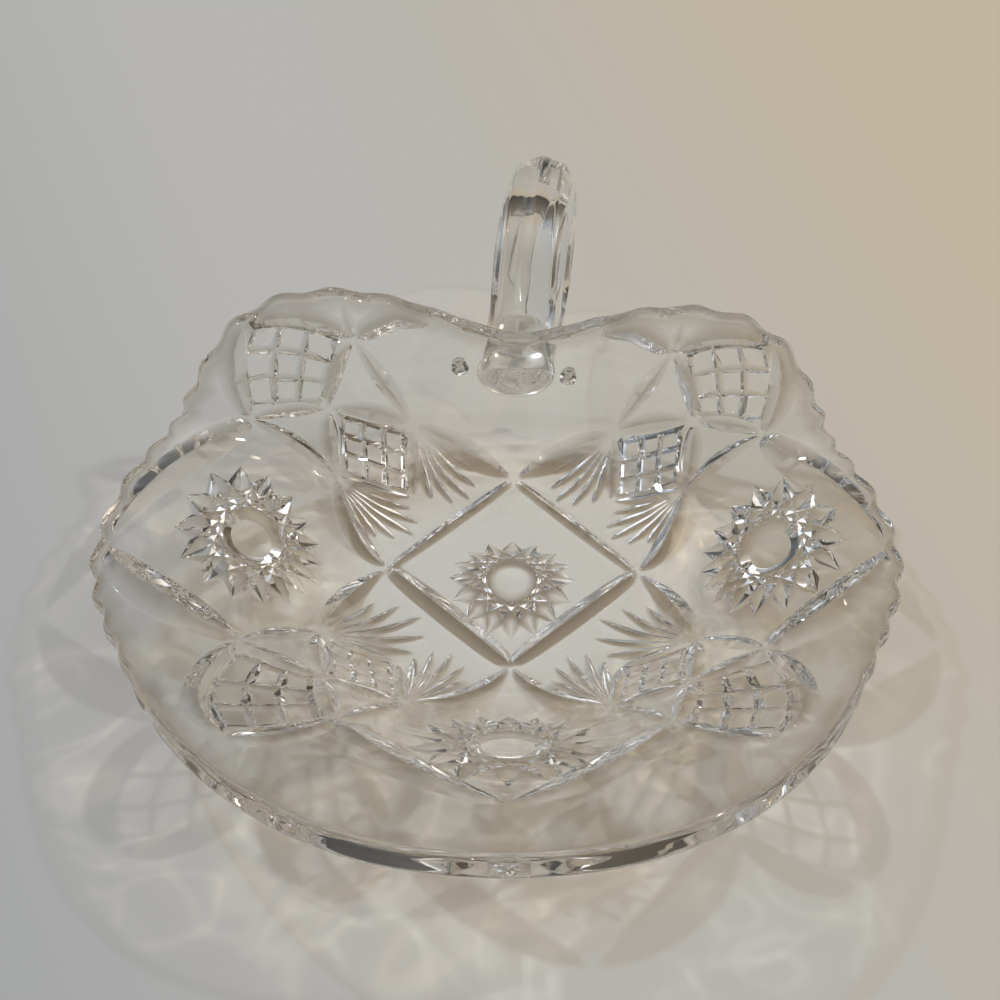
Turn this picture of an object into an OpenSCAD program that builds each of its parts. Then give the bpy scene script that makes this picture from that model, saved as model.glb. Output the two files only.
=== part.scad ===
// Shallow pressed-glass candy dish with a turned-up back, a drawn-out front lip and one
// applied loop handle. Origin in the middle of the underside, +Z up, front towards -Y.
// Angles run from +X (right) through +Y (back, where the handle is).

/* [Glass] */
// Radius of the flat underside
base_r = 25.8; // [24.5:0.1:28]
// Glass thickness in the middle of the base
base_t = 5; // [4:0.5:7]
// Glass thickness at the rim
rim_t = 4.2; // [3.4:0.1:4.8]
// How far in from its edge the rim is rounded over
edge_round = 1.5; // [1.2:0.1:1.6]

/* [Plan] */
// Reach of the pattern at the dip in the back, where the handle sits
back_reach = 49.5; // [49.5:0.5:52]
// Reach of the pattern at the two back corners
corner_reach = 71; // [66:0.2:75]
// Reach of the pattern at the waist between corner and side
waist_reach = 64.8; // [62:0.2:72]
// Reach of the pattern at the left and right tips
side_reach = 69.8; // [64:0.2:74]
// Reach of the pattern at the front tip
front_reach = 72.2; // [66:0.2:78]
// Plain edge outside the pattern, rounding included
edge_w = 2.4; // [2.4:0.1:4]
// Extra reach of the plain front lip
lip_reach = 13.2; // [6:0.2:16]
// Extra thickness of the front lip
lip_t = 0.8; // [0:0.1:1.2]
// How much farther the hand-turned left side reaches than the middle
skew = 2.5; // [0:0.1:3]

/* [Form] */
// Rise of the wall per millimetre outwards
wall_rise = 0.76; // [0.66:0.02:0.86]
// Length over which the base rounds into the wall
heel_soft = 12.4; // [9:0.1:15]
// Radius at which the wall starts to flatten towards the rim
flare_r = 50; // [46:1:56]
// Drop of the front rim due to the flattening
flare_drop = 9.4; // [6:0.2:12]
// Drop of the side tips
side_droop = 7; // [3:0.2:9]
// Sweep of the side tips towards the front
side_sweep = 5; // [2:0.2:8]
// Distance behind the middle at which the back starts to turn up
bend_y = 22.2; // [21.6:0.2:24]
// Length over which the back turns up
bend_len = 20; // [17:0.5:24]
// Angle through which the back is turned up
bend_deg = 56; // [44:1:58]
// How much earlier the bend starts at the sides
bend_spread = 20; // [10:1:24]

/* [Pattern] */
// Distance from the middle to the corners of the square on the underside
square_r = 24.4; // [23:0.1:24.4]
// Depth of the mitre cuts
mitre_d = 1.2; // [0.6:0.1:1.6]
// Depth of the cuts between the small square points
cane_d = 0.8; // [0.4:0.1:1.2]
// Depth of the fan cuts next to the base
fan_d = 0.6; // [0.3:0.1:1]
// Radius of the three stars on the wall
star_r = 15.2; // [12:0.2:16.4]
// Radius of the star on the underside
base_star_r = 12; // [9:0.2:12.6]
// Depth of the cuts in the stars
star_d = 1; // [0.5:0.1:1.4]
// Height of the rim scallops, valley to tip
scallop = 1.1; // [0:0.1:1.6]

/* [Handle] */
// Distance of the loop's centre behind the middle of the dish
loop_y = 64; // [63:0.5:67]
// Height of the loop's centre
loop_z = 24.5; // [23:0.5:27]
// Radius of the loop's centre line
loop_r = 15; // [14:0.5:16.5]
// Width of the handle bar across its facets
handle_w = 13; // [10:0.5:15]
// Thickness of the handle bar
handle_t = 11.4; // [9:0.2:12]
// Lean of the loop towards the right
lean = 8; // [0:0.5:10]
// Radius on the wall at which the upper root is centred
upper_root_r = 46.7; // [46.5:0.1:47]
// Width of the upper root
upper_root_w = 20; // [16:0.5:21]
// Height of the upper root, measured up the wall
upper_root_h = 6.2; // [5:0.2:6.4]
// Radius on the wall at which the lower root is centred
lower_root_r = 40.7; // [40.4:0.1:40.9]
// Width of the lower root
lower_root_w = 21; // [16:0.5:22]
// Height of the lower root, measured up the wall
lower_root_h = 4.6; // [4:0.2:4.8]
// Joint line between the handle's roots and the wall
seat_gap = 0.12; // [0.08:0.01:0.25]

/* [Hidden] */

glass_tint = [0.84, 0.88, 0.9, 0.75];

// Angles measured from the back at which the rim changes character
back_at = 90;
corner_off = 45;
waist_off = 70;
side_off = 100;
front_off = 180;
lip_from_off = 112;
lip_full_off = 168;
scallop_end_off = 140;

// Radii between which the sides are pulled down
pull_r = 47;
pull_len = 25;
pull_power = 4;

// The bend turns the glass about this height, and lasts longer the farther out it starts
bend_level = 7.5;
bend_spread_x = 70;
bend_stretch = 1.2;
bend_samples = 8;

// The pattern is a lattice of square cells: the mitres run along its diagonals
cells = 24;
columns = 4 * cells;
step = 360 / columns;
mid = cells / 2;
third = cells / 3;
node_share = 0.3;
square_cuts = [0.79, 0.88, 0.97];
square_rows = len(square_cuts);
edge_rows = 2;
lip_steps = 4;
inner_rows = 9;

// Each star has 16 points, and three spokes to a point
star_spokes = 48;
spokes_per_point = 3;
star_cols = [0, 2 * cells, 3 * cells];
shoulder = 0.86;
star_rings = [1, 0.64, 0.5, 0.37, 0.3, 0.2];

front_rim_r = front_reach + edge_w + lip_reach;
first_lattice = square_rows;
first_edge = first_lattice + cells + 1;
first_lip = first_edge + edge_rows;
first_inner = first_lip + lip_steps;
ring_count = first_inner + inner_rows - 1;

// Handle: samples along its parts, and where on the loop the two necks start
section_n = 16;
upper_neck_at = 160;
lower_neck_at = -105;
neck_len = 7;
neck_rise = 25;
neck_steps = 4;
loop_steps = 16;
cap_scales = [0.34, 0.67, 1];

function mix(a, b, t) = a + (b - a) * t;
function smooth(t) = let (c = min(max(t, 0), 1)) c * c * (3 - 2 * c);
function ramp(x, lo, hi) = smooth((x - lo) / (hi - lo));
function unit(v) = v / norm(v);
function total(v) = v * [for (x = v) 1];
function off_back(a) = abs((a - back_at + 540) % 360 - 180);

// Plan of the dish: reach of the pattern and width of the plain edge at angle a
function reach(a) =
    let (d = off_back(a))
    (d < corner_off ? mix(back_reach, corner_reach, ramp(d, 0, corner_off))
    : d < waist_off ? mix(corner_reach, waist_reach, ramp(d, corner_off, waist_off))
    : d < side_off ? mix(waist_reach, side_reach, ramp(d, waist_off, side_off))
    : mix(side_reach, front_reach, ramp(d, side_off, front_off))) - skew * cos(a);
function lip_share(a) = ramp(off_back(a), lip_from_off, lip_full_off);
function edge(a) = edge_w + lip_reach * lip_share(a);
function rim_thick(a) = rim_t + lip_t * lip_share(a);

// Scallops alternate from column to column and fade at the dip and ahead of the side tips
function scallop_share(a) =
    let (d = off_back(a))
    ramp(d, 0, corner_off) * (1 - ramp(d, side_off, scallop_end_off));
function scallop_at(i) = (i % 2 == 0 ? 0.5 : -0.5) * scallop * scallop_share(i * step);

// Outer face of the dish, without the cuts, at angle a and plan radius r
function rise(r) =
    wall_rise * (norm([max(r - base_r, 0), heel_soft]) - heel_soft)
    - flare_drop * pow(max(r - flare_r, 0) / (front_rim_r - flare_r), 2);
function turn_up(p) =
    let (early = bend_spread * pow(p.x / bend_spread_x, 2),
         start = bend_y - early,
         span = bend_len + bend_stretch * early,
         u = p.y - start,
         c = min(u, span),
         rest = u - c,
         ds = c / bend_samples,
         on_way = [for (k = [0 : bend_samples - 1]) bend_deg * smooth((k + 0.5) * ds / span)],
         deg = bend_deg * smooth(c / span),
         h = p.z - bend_level)
    u <= 0 ? p : [p.x,
                  start + ds * total([for (b = on_way) cos(b)])
                  + rest * cos(bend_deg) - h * sin(deg),
                  bend_level + ds * total([for (b = on_way) sin(b)])
                  + rest * sin(bend_deg) + h * cos(deg)];
function skin(a, r) =
    let (pull = pow(abs(cos(a)), pull_power) * pow(max(r - pull_r, 0) / pull_len, 2))
    turn_up([r * cos(a), r * sin(a) - side_sweep * pull, rise(r) - side_droop * pull]);
function inward(a, r) =
    let (da = 0.5, dr = 0.05)
    unit(cross(skin(a, r + dr) - skin(a, r - dr), skin(a + da, r) - skin(a - da, r)));
function glass(a, r, depth) = skin(a, r) + depth * inward(a, r);

// Depth of the cuts at lattice column i and row j
function swell(t) = mix(node_share, 1, sin(180 * t));
function mitre_at(j) =
    mitre_d * swell(j <= third ? j / third
                    : j <= mid ? (j - third) / (mid - third)
                    : j <= 2 * third ? (j - mid) / (2 * third - mid)
                    : (j - 2 * third) / (cells - 2 * third));
function on_handle_field(i, j) = abs(i - cells) < third && j > 2 * third;
function cut(i, j) =
    let (di = i % cells - mid, dj = j - mid, across = abs(di), along = abs(dj), sum = across + along)
    on_handle_field(i, j) ? 0
    : across == along ? mitre_at(j)
    : across == mid - third && along < across ? mitre_d * swell((j - third) / third)
    : across > along ? 0
    : sum == third ? mitre_d
    : sum < third ? ((di + dj) % 2 == 0 ? cane_d : 0)
    : dj < 0 && j > 0 && di % 2 != 0 ? fan_d
    : 0;

// One point of the stack of rings that runs from the square under the base, up the
// outside, over the rim and down the inside
function square_pt(q, i) =
    let (a = i * step,
         r = square_cuts[q] * square_r * cos(45) / cos(a % 90 - 45))
    glass(a, r, q == 1 ? mitre_d : 0);
function lattice_pt(i, j, depth) =
    let (a = i * step)
    glass(a, mix(square_r, reach(a), j / cells), depth);
function rim_r(i) = reach(i * step) + edge(i * step) + scallop_at(i);
function edge_pt(i, k) =
    let (a = i * step)
    glass(a, mix(reach(a), rim_r(i) - edge_round, k / edge_rows), 0);
function lip_pt(i, k) =
    let (a = i * step, turn = 180 * k / lip_steps)
    glass(a, rim_r(i) - edge_round * (1 - sin(turn)), rim_thick(a) / 2 * (1 - cos(turn)));
function inner_pt(i, k) =
    let (a = i * step, w = 1 - k / inner_rows)
    glass(a, w * (reach(a) + edge(a) - edge_round), mix(base_t, rim_thick(a), w));
function ring_pt(q, i) =
    q < first_lattice ? square_pt(q, i)
    : q < first_edge ? lattice_pt(i, q - first_lattice, cut(i, q - first_lattice))
    : q < first_lip ? edge_pt(i, q - first_edge + 1)
    : q < first_inner ? lip_pt(i, q - first_lip + 1)
    : inner_pt(i, q - first_inner + 1);

// Stars: heights on the rings, and the six-sided field of lattice cells that each one fills
function star_cut(m, k) =
    let (ridge = k % spokes_per_point == 0)
    m == 1 ? (ridge ? 0 : star_d)
    : m == 2 ? (ridge ? star_d : 0)
    : m == 3 ? star_d
    : 0;
function field_off(k) =
    let (side = cells - third - mid)
    k <= side ? [third, k]
    : k <= mid ? [mid - k, k]
    : k <= 2 * mid - side ? [mid - k, 2 * mid - k]
    : k <= 2 * mid + side ? [-third, 2 * mid - k]
    : k <= 3 * mid ? [k - 3 * mid, 2 * mid - k]
    : k <= 4 * mid - side ? [k - 3 * mid, k - 4 * mid]
    : [third, k - 4 * mid];
function in_star(ci, cj) =
    len([for (c = star_cols)
        let (d = abs((ci - c + 1.5 * columns) % columns - columns / 2))
        if (d < third && d + abs(cj - mid) < mid) c]) > 0;
function shoulder_pt(c, k) =
    let (o = shoulder * field_off(k))
    lattice_pt(c + o.x, mid + o.y, 0);
function star_pt(c, m, k) =
    let (a = c * step,
         r = mix(square_r, reach(a), 0.5),
         spoke = 360 * k / star_spokes,
         s = star_r * star_rings[m])
    glass(a + s * cos(spoke) / r * 180 / PI, r + s * sin(spoke), star_cut(m, k));
function base_star_pt(m, k) =
    let (spoke = 360 * k / star_spokes, s = base_star_r * star_rings[m])
    [s * cos(spoke), s * sin(spoke), star_cut(m, k)];

// Faces: a strip between two closed rings of n points, and a fan from a ring to a point
function strip(lo, hi, n) =
    [for (k = [0 : n - 1]) let (e = (k + 1) % n)
        each [[lo + k, hi + k, hi + e], [lo + k, hi + e, lo + e]]];
function fan(ring, tip, n) = [for (k = [0 : n - 1]) [ring + k, tip, ring + (k + 1) % n]];
function flip(faces) = [for (f = faces) [f[2], f[1], f[0]]];

// Index of a point of the ring stack, and the triangles of one of its cells: the cell's
// diagonal follows the mitres
function at(q, i) = q * columns + i % columns;
function cell_faces(q, i) =
    let (j = q - first_lattice,
         even = (i + j) % 2 == 0,
         lo = even ? [[0, 0], [0, 1], [1, 1]] : [[0, 0], [0, 1], [1, 0]],
         hi = even ? [[0, 0], [1, 1], [1, 0]] : [[1, 0], [0, 1], [1, 1]],
         in_lattice = q >= first_lattice && q < first_edge - 1)
    [for (t = [lo, hi])
        let (ci = i + (t[0].x + t[1].x + t[2].x) / 3, cj = j + (t[0].y + t[1].y + t[2].y) / 3)
        if (!(in_lattice && in_star(ci, cj)))
            [for (v = t) at(q + v.y, i + v.x)]];

module bowl() {
    stack = [for (q = [0 : ring_count - 1], i = [0 : columns - 1]) ring_pt(q, i)];
    inner_tip = len(stack);

    // Star under the base, joined to the square by a strip that halves the points
    base_first = inner_tip + 1;
    last = len(star_rings) - 1;
    base_star = [for (m = [0 : last], k = [0 : star_spokes - 1]) base_star_pt(m, k)];
    base_tip = base_first + len(base_star);
    base_join = [for (k = [0 : star_spokes - 1])
        let (a = at(0, 2 * k), b = at(0, 2 * k + 1), c = at(0, 2 * k + 2),
             s = base_first + k, t = base_first + (k + 1) % star_spokes)
        each [[s, a, b], [t, b, c], [s, b, t]]];
    base_faces = concat(
        base_join,
        [for (m = [0 : last - 1])
            let (ring = base_first + m * star_spokes)
            each flip(strip(ring, ring + star_spokes, star_spokes))],
        flip(fan(base_first + last * star_spokes, base_tip, star_spokes)));

    // Stars on the wall, each joined to its field of the lattice over a shoulder
    star_first = base_tip + 1;
    star_size = (len(star_rings) + 1) * star_spokes + 1;
    stars = [for (c = star_cols) each concat(
        [for (k = [0 : star_spokes - 1]) shoulder_pt(c, k)],
        [for (m = [0 : last], k = [0 : star_spokes - 1]) star_pt(c, m, k)],
        [lattice_pt(c, mid, 0)])];
    star_faces = [for (s = [0 : len(star_cols) - 1])
        let (f = star_first + s * star_size,
             rim = [for (k = [0 : star_spokes - 1])
                let (o = field_off(k))
                at(first_lattice + mid + o.y, star_cols[s] + o.x + columns)])
        each concat(
            [for (k = [0 : star_spokes - 1]) let (e = (k + 1) % star_spokes)
                each [[rim[k], f + k, f + e], [rim[k], f + e, rim[e]]]],
            [for (m = [0 : last])
                each strip(f + m * star_spokes, f + (m + 1) * star_spokes, star_spokes)],
            fan(f + (last + 1) * star_spokes, f + star_size - 1, star_spokes))];

    stack_faces = [for (q = [0 : ring_count - 2], i = [0 : columns - 1]) each cell_faces(q, i)];
    color(glass_tint)
        polyhedron(
            points = concat(stack, [[0, 0, base_t]], base_star, [[0, 0, 0]], stars),
            faces = concat(stack_faces, fan(at(ring_count - 1, 0), inner_tip, columns),
                           base_faces, star_faces));
}

// Handle: centre line in the plane behind the dish, as [y, z]
function wall_yz(r) = let (p = skin(back_at, r)) [p.y, p.z];
function loop_yz(s) = [loop_y + loop_r * cos(s), loop_z + loop_r * sin(s)];
function loop_dir(s) = [sin(s), -cos(s)];
function bezier(p, t) =
    let (u = 1 - t)
    u * u * u * p[0] + 3 * u * u * t * p[1] + 3 * u * t * t * p[2] + t * t * t * p[3];
function bezier_dir(p, t) =
    let (u = 1 - t)
    unit(u * u * (p[1] - p[0]) + 2 * u * t * (p[2] - p[1]) + t * t * (p[3] - p[2]));

// Cross-section: an eight-sided bar with a ridge on its outer side, two points to a facet
function bar_corner(k) = [cos(360 * k / section_n), sin(360 * k / section_n)];
function bar_pt(k) = k % 2 == 0 ? bar_corner(k) : (bar_corner(k - 1) + bar_corner(k + 1)) / 2;
function section(yz, dir, w, t) =
    let (out = [-dir.y, dir.x], shift = tan(lean) * max(yz.x - wall_yz(upper_root_r).x, 0))
    [for (k = [0 : section_n - 1]) let (b = bar_pt(k), c = yz + out * b.y * t / 2)
        [shift + b.x * w / 2, c.x, c.y]];

// A root lies on the wall: its ring, scaled by s, with its outer side up or down the wall
function root_ring(r, w, h, side, s) =
    [for (k = [0 : section_n - 1])
        let (x = s * w / 2 * cos(360 * k / section_n),
             rk = r + side * s * h / 2 * sin(360 * k / section_n))
        glass(back_at - x / rk * 180 / PI, rk, -seat_gap)];

module handle() {
    upper = wall_yz(upper_root_r);
    lower = wall_yz(lower_root_r);
    first = loop_yz(upper_neck_at);
    last = loop_yz(lower_neck_at);
    upper_neck = [upper, upper + neck_len * [cos(neck_rise), sin(neck_rise)],
                  first - neck_len * loop_dir(upper_neck_at), first];
    lower_neck = [last, last + neck_len * loop_dir(lower_neck_at),
                  lower + [neck_len, 0], lower];
    neck_shares = [for (k = [1 : neck_steps - 1]) k / neck_steps];

    rings = concat(
        [for (s = cap_scales) root_ring(upper_root_r, upper_root_w, upper_root_h, 1, s)],
        [for (t = neck_shares)
            section(bezier(upper_neck, t), bezier_dir(upper_neck, t),
                    mix(upper_root_w, handle_w, smooth(t)), mix(upper_root_h, handle_t, t))],
        [for (k = [0 : loop_steps])
            let (s = mix(upper_neck_at, lower_neck_at, k / loop_steps))
            section(loop_yz(s), loop_dir(s), handle_w, handle_t)],
        [for (t = neck_shares)
            section(bezier(lower_neck, t), bezier_dir(lower_neck, t),
                    mix(handle_w, lower_root_w, smooth(t)), mix(handle_t, lower_root_h, t))],
        [for (m = [len(cap_scales) - 1 : -1 : 0])
            root_ring(lower_root_r, lower_root_w, lower_root_h, -1, cap_scales[m])]);
    points = [for (ring = rings) each ring];
    upper_tip = len(points);
    lower_tip = upper_tip + 1;
    color(glass_tint)
        polyhedron(
            points = concat(points, [glass(back_at, upper_root_r, -seat_gap),
                                     glass(back_at, lower_root_r, -seat_gap)]),
            faces = concat(
                fan(0, upper_tip, section_n),
                [for (q = [0 : len(rings) - 2])
                    each flip(strip(q * section_n, (q + 1) * section_n, section_n))],
                flip(fan((len(rings) - 1) * section_n, lower_tip, section_n))));
}

bowl();
handle();
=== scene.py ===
"""Studio scene of a pressed-glass candy dish with one applied loop handle.

Lengths of the dish are in millimetres up to the last step, which makes the mesh in metres.
The dish is one fused piece of glass: a relief sheet underneath, a rounded rim, a smooth
sheet inside, and the handle, which grows out of an oval opening in the relief sheet.
"""
import math

import bpy
import numpy as np
from mathutils import Matrix, Vector
from mathutils.geometry import delaunay_2d_cdt
from mathutils.kdtree import KDTree


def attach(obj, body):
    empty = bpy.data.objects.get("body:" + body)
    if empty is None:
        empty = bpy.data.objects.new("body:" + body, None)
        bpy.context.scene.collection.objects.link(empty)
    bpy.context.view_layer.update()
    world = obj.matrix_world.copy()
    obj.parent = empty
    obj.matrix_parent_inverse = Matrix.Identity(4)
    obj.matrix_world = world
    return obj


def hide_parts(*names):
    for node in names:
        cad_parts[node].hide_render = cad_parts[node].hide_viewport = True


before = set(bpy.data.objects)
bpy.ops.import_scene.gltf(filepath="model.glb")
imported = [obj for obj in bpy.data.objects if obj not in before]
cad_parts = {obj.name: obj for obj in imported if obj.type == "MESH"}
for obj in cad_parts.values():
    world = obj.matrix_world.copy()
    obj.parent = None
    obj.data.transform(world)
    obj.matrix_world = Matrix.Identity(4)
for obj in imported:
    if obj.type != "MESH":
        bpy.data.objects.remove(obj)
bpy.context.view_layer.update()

MM = 0.001

# Form of the dish, as in the part's source
BASE_R, BASE_T, RIM_T = 25.8, 5.0, 4.2
EDGE_ROUND, LIP_T = 1.5, 0.8
BACK_REACH, CORNER_REACH, WAIST_REACH = 49.5, 71.0, 64.8
SIDE_REACH, FRONT_REACH = 69.8, 72.2
EDGE_W, LIP_REACH, SKEW = 2.4, 13.2, 2.5
CORNER_OFF, WAIST_OFF, SIDE_OFF, FRONT_OFF = 45.0, 70.0, 100.0, 180.0
LIP_FROM_OFF, LIP_FULL_OFF, SCALLOP_END_OFF = 112.0, 168.0, 140.0
WALL_RISE, HEEL_SOFT = 0.76, 12.4
FLARE_R, FLARE_DROP = 50.0, 9.4
FRONT_RIM_R = FRONT_REACH + EDGE_W + LIP_REACH
SIDE_DROOP, SIDE_SWEEP = 7.0, 5.0
PULL_R, PULL_LEN, PULL_POWER = 47.0, 25.0, 4
BEND_Y, BEND_LEN, BEND_DEG, BEND_SPREAD = 22.2, 20.0, 56.0, 20.0
BEND_LEVEL, BEND_SPREAD_X, BEND_STRETCH, BEND_SAMPLES = 7.5, 70.0, 1.2, 8
BACK_AT = 90.0
SCALLOP, SCALLOPS = 1.1, 48

# Pattern: nodes of the mitres at a back and a front corner of the wall, right-hand side, as
# (angle, share of the way from the base to the edge); the left-hand side mirrors them
SQUARE_R, BASE_SHARE = 24.4, -0.03
BACK_CORNER = {
    "cross": (43.0, 0.535), "outer_side": (29.4, 0.77), "outer_end": (58.2, 0.8),
    "inner_side": (29.7, 0.363), "inner_end": (57.7, 0.327), "peak": (46.2, 1.01),
    "arch_side": (39.9, 0.942), "arch_end": (53.1, 0.943),
    "base_side": (0.0, BASE_SHARE), "base_end": (90.0, BASE_SHARE),
}
FRONT_CORNER = {
    "cross": (-48.2, 0.53), "outer_side": (-33.5, 0.69), "outer_end": (-60.2, 0.71),
    "inner_side": (-32.0, 0.362), "inner_end": (-65.1, 0.42), "peak": (-51.5, 1.035),
    "arch_side": (-41.9, 0.948), "arch_end": (-56.8, 0.929),
    "base_side": (0.0, BASE_SHARE), "base_end": (-90.0, BASE_SHARE),
}
SIDE_TIP, FRONT_TIP = (-3.5, 1.03), (-90.0, 1.007)
BACK_SWEEP = (BACK_CORNER["outer_end"], (66.8, 0.944), (73.1, 0.965))
BACK_SPUR = (BACK_CORNER["outer_end"], (60.0, 0.98))

# Mitres are V-cuts shaped like leaves. Long leaves of the wall: stops, then half-width
LONG_LEAVES = (
    ((BACK_CORNER["outer_side"], SIDE_TIP), 4.2),
    ((FRONT_CORNER["outer_side"], SIDE_TIP), 4.0),
    ((FRONT_CORNER["outer_end"], FRONT_TIP), 3.6),
    (BACK_SWEEP, 2.6),
    (BACK_SPUR, 1.4),
)
LONG_LEAF_PEAK = 0.38

# Half-widths of the leaves round a crossing of the wall
FOOT_LEAF, FOOT_LEAF_TRIM = 2.5, 0.8
INNER_LEAF, OUTER_LEAF, LINK_LEAF, PEAK_LEAF = 2.1, 2.0, 1.9, 1.3
ARCH_LEAF, ARCH_FULLNESS = 2.7, 0.5

# Slopes of the cuts, soft shares of their width, and the lines of the mesh along them
MITRE_SLOPE, BASE_SLOPE, FAN_SLOPE = 0.62, 0.7, 0.9
LEAF_EDGE, LEAF_BOTTOM = 0.1, 0.09
LEAF_LINES = (-1.1, -1.0, -0.9, -0.09, 0.0, 0.09, 0.9, 1.0, 1.1)

# Panels of small squares, and rays of a fan as (share of its sweep, length)
SQUARE_LINES = (0.13, 0.38, 0.63, 0.88)
SQUARE_BEVEL, SQUARE_D = 0.17, 0.8
FAN_HALF_W, FAN_FROM, FAN_PEAK = 0.95, 0.14, 0.6
FAN_RAYS = ((0.1, 0.66), (0.27, 0.78), (0.44, 0.86), (0.61, 0.82), (0.79, 0.7))

# Stars: points and chord skip of the cuts, then (angle, radius, size) of those on the wall
STAR_POINTS, STAR_SKIP, STAR_D = 16, 6, 1.5
HALF_POINT = 180.0 / STAR_POINTS
WALL_STARS = ((-3.2, 48.6, 17.2), (183.2, 49.2, 17.2), (-90.0, 55.0, 17.6))
STAR_SQUASH, STAR_DISC_R = 0.74, 4.6
BASE_STAR_R, BASE_STAR_D, BASE_DISC_R = 11.8, 0.65, 2.9
BASE_STAR_Y, BASE_STAR_BACK, BASE_STAR_FRONT = -2.0, 0.8, 1.28

# Tops of a star's diamonds, and notches between its points
TOP_AT, TOP_LIFT, TOP_LIFT_MORE, NOTCH_AT = 0.4, 0.55, 0.25, 0.36

# Square of bars round the base star: back right, back left, front left, front right
BAR_HALF_W = (1.4, 1.4, 2.5, 2.2)
BAR_FULLNESS, BAR_TRIM = 0.16, 0.4

# Handle: loop, bar, root on the wall, necks between them, and blobs beside the root
LOOP_Y, LOOP_Z, LOOP_R = 64.0, 24.5, 15.0
HANDLE_W, HANDLE_T, LEAN = 13.0, 11.4, 8.0
ROOT_R, ROOT_W, ROOT_H = 44.1, 16.2, 11.4
UPPER_ROOT_R, UPPER_ROOT_H = 46.7, 6.2
LOWER_ROOT_R, LOWER_ROOT_H = 40.7, 4.6
CROTCH_LIFT, FOOT_SHARE, NECK_W = 2.2, 0.8, 13.6
FILLET_STEPS = (0.12, 0.25, 0.4, 0.55, 0.7, 0.85)
UPPER_NECK_AT, LOWER_NECK_AT = 160.0, -105.0
NECK_LEN, NECK_RISE = 7.0, 25.0
NUBS = ((-11.1, 44.6), (10.5, 42.9))
NUB_R, NUB_H, NUB_SIDES = 1.8, 2.4, 7
NUB_RINGS = (1.0, 0.8, 0.45)

# Section of the handle's bar, and the shares of its necks over which the facets form and fade
FACETS = 8
FACET_STOPS = (0.0, 0.08, 0.14, 0.5, 0.86, 0.92)
SECTION_N = FACETS * len(FACET_STOPS)
HALF_N = SECTION_N // 2
RIDGE_SHARE, ROUND_SHARE = 0.972, 0.97
FACETS_FORM, FACETS_FADE = (0.6, 1.0), (0.1, 0.5)

# Rim: form of its rounding, how clear of it the cuts stay, and where they run out
LIP_POWER, RIM_CLEAR, RUN_OUT = 3.2, 0.3, 1.0

# Fineness of the mesh
RIM_STEPS, LIP_STEPS = 768, 18
PATH_STEPS, LINE_STEPS, BAR_STEPS = 24, 12, 20
LEAF_STEP, LEAF_MIN_STEPS = 1.0, 8
NECK_STEPS, NECK_SKIP, LOOP_STEPS = 13, 3, 60
FILL_PITCH, FILL_CLEAR, FILL_REACH, HEX_ROW = 1.7, 0.75, 92.0, 0.866
WELD, TINY, SHARP_DEG = 1e-5, 1e-9, 30.0

# Stage: floor, room, and lamps as (name, place, size, watts, colour)
FLOOR_R, FLOOR_Z, FLOOR_SIDES = 4.0, -0.0001, 96
FLOOR_ROUGH, FLOOR_GLOSS = 0.55, 0.25
# Painted light on the floor: its colour runs from darker and cool at the front left to lighter
# and warm at the back right
FLOOR_PAINTED_LIGHT_WAY, FLOOR_PAINTED_LIGHT_FROM, FLOOR_PAINTED_LIGHT_TO = (0.93, 0.37, 0.0), -0.15, 0.15
FLOOR_TONE_AND_PAINTED_LIGHT = (
    (0.0, (0.33, 0.345, 0.37)),
    (0.5, (0.445, 0.445, 0.44)),
    (1.0, (0.5, 0.445, 0.35)),
)
WORLD_STRENGTH = 0.68
WORLD_STOPS = (
    (0.0, (0.06, 0.05, 0.04)),
    (0.25, (0.12, 0.105, 0.09)),
    (0.5, (0.2, 0.19, 0.17)),
    (0.75, (0.62, 0.61, 0.59)),
    (1.0, (2.3, 2.3, 2.3)),
)
SIDE_TINTS = ((0.0, (0.78, 0.9, 1.08)), (1.0, (1.08, 0.93, 0.74)))
LAMPS = (
    ("warm_key", (0.85, 0.1, 1.1), 0.06, 7.0, (1.0, 0.88, 0.7)),
    ("cool_fill", (-0.65, 0.45, 1.1), 0.06, 6.0, (0.86, 0.94, 1.0)),
)

# Glass: waves, film and frost of its face
GLASS_BOUNCES, GLASS_IOR = 40, 1.52
WAVE_SCALE, WAVE_DETAIL, WAVE_STRENGTH, WAVE_HEIGHT = 55.0, 2.0, 0.35, 0.0004
FILM_SCALE, FILM_DETAIL, FILM_FROM, FILM_TO, FILM_ROUGH = 140.0, 4.0, 0.45, 0.85, 0.05
FROST_FULL, FROST_FADE, FROST_ROUGH = 5, 6, 0.2

# Light through the glass to the floor, by slant, by cut and in streaks
PASS_STOPS = (
    (0.0, (1.01, 1.01, 1.01)),
    (0.5, (1.08, 1.05, 1.0)),
    (0.8, (0.85, 0.82, 0.78)),
    (1.0, (0.4, 0.36, 0.3)),
)
CUT_FULL_D, RIM_CUT = 0.15, 0.4
CUT_STOPS = ((0.0, (1.04, 1.04, 1.04)), (1.0, (0.52, 0.45, 0.36)))
STREAK_FULL_R = 40.0
STREAK_SCALE, STREAK_DETAIL, STREAK_DISTORTION = 38.0, 1.0, 1.6
STREAK_STOPS = (
    (0.36, (0.92, 0.91, 0.9)),
    (0.46, (1.0, 0.99, 0.97)),
    (0.5, (1.4, 1.38, 1.32)),
    (0.54, (1.0, 0.99, 0.97)),
    (0.64, (0.92, 0.91, 0.9)),
)

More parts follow.
